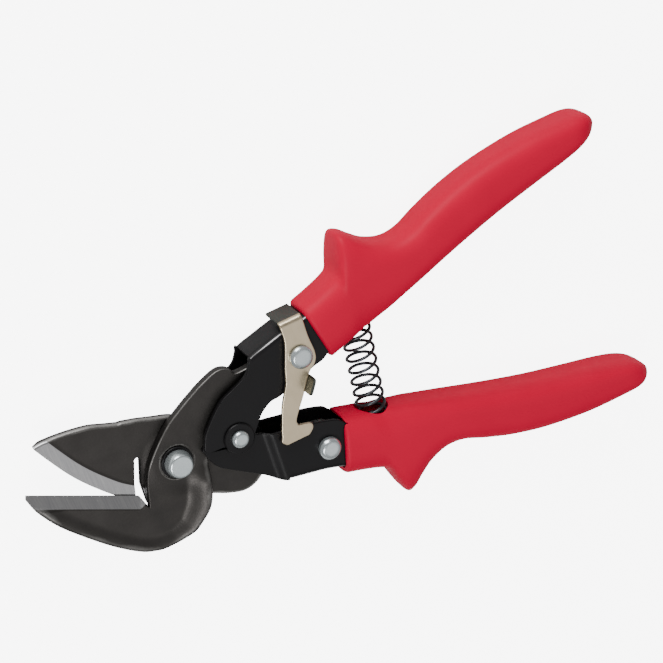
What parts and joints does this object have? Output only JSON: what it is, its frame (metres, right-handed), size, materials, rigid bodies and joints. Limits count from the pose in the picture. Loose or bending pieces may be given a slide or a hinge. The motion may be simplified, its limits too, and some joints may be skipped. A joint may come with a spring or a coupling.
{
  "type": "aviation snips",
  "caption": "Compound-action offset aviation snips with scooped lower jaw, folded channel handles, vinyl grips, return spring and pivoting latch.",
  "frame": {"origin": "axis of the main pivot at the end face of its bolt, the lowest point of the tool lying on its side", "axes": "+X to the jaw tips, +Z along every pivot axis toward the bolt's head, +Y to the side of the lower handle"},
  "size_m": [0.2378, 0.115, 0.025],
  "materials": {
    "blade_steel": "satin",
    "black_steel": "satin",
    "zinc_steel": "satin",
    "nickel_steel": "satin",
    "spring_wire": "satin",
    "red_vinyl": "satin"
  },
  "bodies": {
    "lower_handle": {"lower_handle_channel": "black_steel", "lower_grip": "red_vinyl", "handle_pivot_rivet": "zinc_steel", "handle_pivot_spacer": "zinc_steel", "handle_pivot_near_washer": "black_steel", "handle_pivot_far_washer": "black_steel", "lower_link_rivet": "zinc_steel", "lower_link_near_spacer": "zinc_steel", "lower_link_far_spacer": "zinc_steel", "return_spring": "spring_wire"},
    "upper_handle": {"upper_handle_channel": "black_steel", "upper_grip": "red_vinyl", "upper_link_rivet": "zinc_steel", "upper_link_near_spacer": "zinc_steel", "upper_link_far_spacer": "zinc_steel", "latch_washer": "zinc_steel"},
    "upper_jaw": {"upper_jaw": "blade_steel"},
    "lower_jaw": {"lower_jaw": "blade_steel", "pivot_bolt": "zinc_steel", "pivot_head_washer": "black_steel", "pivot_nut_washer": "zinc_steel", "pivot_lock_nut": "zinc_steel"},
    "latch": {"latch": "nickel_steel"}
  },
  "joints": [
    {"name": "handle_pivot", "type": "hinge", "parent": "lower_handle", "child": "upper_handle", "pos_m": [-0.02271, 0, 0.01], "axis": [0, 0, -1], "range_deg": [0, 32], "stiffness_Nm_per_rad": 2, "springref_deg": -20.05, "deforming": ["return_spring"]},
    {"name": "lower_link_pivot", "type": "hinge", "parent": "lower_handle", "child": "upper_jaw", "pos_m": [-0.0525, 0.0195, 0.01], "axis": [0, 0, -1], "range_deg": [0, 6.5]},
    {"name": "main_pivot", "type": "hinge", "parent": "upper_jaw", "child": "lower_jaw", "pos_m": [0, 0, 0.01], "axis": [0, 0, -1], "range_deg": [0, 19.1]},
    {"name": "latch_pivot", "type": "hinge", "parent": "upper_handle", "child": "latch", "pos_m": [-0.0525, -0.0195, 0.01], "axis": [0, 0, 1], "range_deg": [0, 21]}
  ],
  "couplings": [
    {"joint": "lower_link_pivot", "follows": "handle_pivot", "ratio": 0.20204},
    {"joint": "main_pivot", "follows": "handle_pivot", "ratio": 0.59593}
  ]
}
